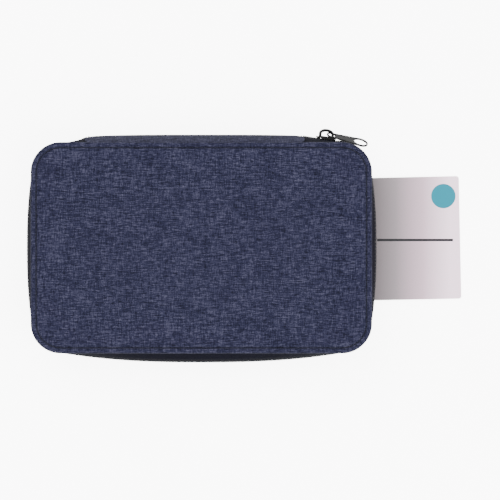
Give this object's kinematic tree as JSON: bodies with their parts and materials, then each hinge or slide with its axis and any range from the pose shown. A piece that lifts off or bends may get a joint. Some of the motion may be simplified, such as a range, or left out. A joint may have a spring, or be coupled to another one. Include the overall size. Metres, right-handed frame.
{
  "type": "zip-around travel organizer",
  "caption": "Padded fabric organizer case that zips on three sides and folds open on its spine, with pockets and pen loops inside.",
  "frame": {"origin": "middle of the outer back face, which the closed case rests on", "axes": "+X along the spine towards the slider, +Y towards the spine, +Z from the back cover to the front cover"},
  "size_m": [0.2734, 0.1463, 0.0316],
  "materials": {
    "navy_fabric": "matte melange weave",
    "navy_binding": "matte melange weave",
    "zipper_tape": "matte woven tape",
    "zipper_coil": "satin",
    "lining": "smooth plain weave",
    "elastic": "ribbed elastic",
    "mesh_net": "open net",
    "foam": "open cell foam",
    "board_core": "plain board",
    "black_metal": "gloss black",
    "card_stock": "coated card"
  },
  "bodies": {
    "back_cover": {"back_cover_fabric": "navy_fabric", "back_cover_foam": "foam", "back_cover_board": "board_core", "back_lining": "lining", "back_edge_binding": "navy_binding", "back_slip_pocket": "navy_fabric", "zipper_tape_back": "zipper_tape", "zipper_coil_back": "zipper_coil", "document_pocket": "lining", "card_slot_1": "lining", "card_slot_2": "lining", "card_slot_3": "lining", "note_pocket": "lining", "pen_loop_left_1": "elastic", "pen_loop_left_2": "elastic", "pen_loop_left_3": "elastic", "pen_loop_right_1": "elastic", "pen_loop_right_2": "elastic", "pen_loop_right_3": "elastic"},
    "spine": {"spine_fabric": "navy_fabric", "spine_stiffener": "board_core", "spine_lining": "lining"},
    "front_cover": {"front_cover_fabric": "navy_fabric", "front_cover_foam": "foam", "front_cover_board": "board_core", "front_lining": "lining", "front_edge_binding": "navy_binding", "zipper_tape_front": "zipper_tape", "zipper_coil_front": "zipper_coil", "pocket_frame": "lining", "pocket_mesh": "mesh_net", "pocket_tape_near": "zipper_tape", "pocket_tape_far": "zipper_tape", "pocket_coil_near": "zipper_coil", "pocket_coil_far": "zipper_coil"},
    "slider": {"slider_body": "black_metal", "slider_crown": "black_metal"},
    "pull_tab": {"pull_tab": "black_metal"},
    "pocket_slider": {"pocket_slider_body": "black_metal", "pocket_slider_crown": "black_metal"},
    "pocket_pull_tab": {"pocket_pull_tab": "black_metal"},
    "insert_card": {"insert_card": "card_stock"}
  },
  "joints": [
    {"name": "spine_fold", "type": "hinge", "parent": "back_cover", "child": "spine", "pos_m": [0, 0.0683, 0.0054], "axis": [-1, 0, 0], "range_deg": [0, 90]},
    {"name": "cover_fold", "type": "hinge", "parent": "spine", "child": "front_cover", "pos_m": [0, 0.0683, 0.0278], "axis": [-1, 0, 0], "range_deg": [0, 90]},
    {"name": "slider_slide", "type": "slide", "parent": "back_cover", "child": "slider", "axis": [0.9875, -0.1578, 0], "range_m": [0, 0.003]},
    {"name": "pull_tab_swing", "type": "hinge", "parent": "slider", "child": "pull_tab", "pos_m": [0.07829, 0.07133, 0.0166], "axis": [0, 0, 1], "range_deg": [0, 160]},
    {"name": "pocket_slider_slide", "type": "slide", "parent": "front_cover", "child": "pocket_slider", "axis": [1, 0, 0], "range_m": [-0.168, 0]},
    {"name": "pocket_tab_swing", "type": "hinge", "parent": "pocket_slider", "child": "pocket_pull_tab", "pos_m": [0.085, 0.038, 0.02178], "axis": [0, -1, 0], "range_deg": [0, 165]},
    {"name": "card_slide", "type": "slide", "parent": "back_cover", "child": "insert_card", "axis": [0.9998, 0.0209, 0], "range_m": [-0.06, 0.055]}
  ],
  "couplings": [
    {"joint": "cover_fold", "follows": "spine_fold", "ratio": 1}
  ]
}
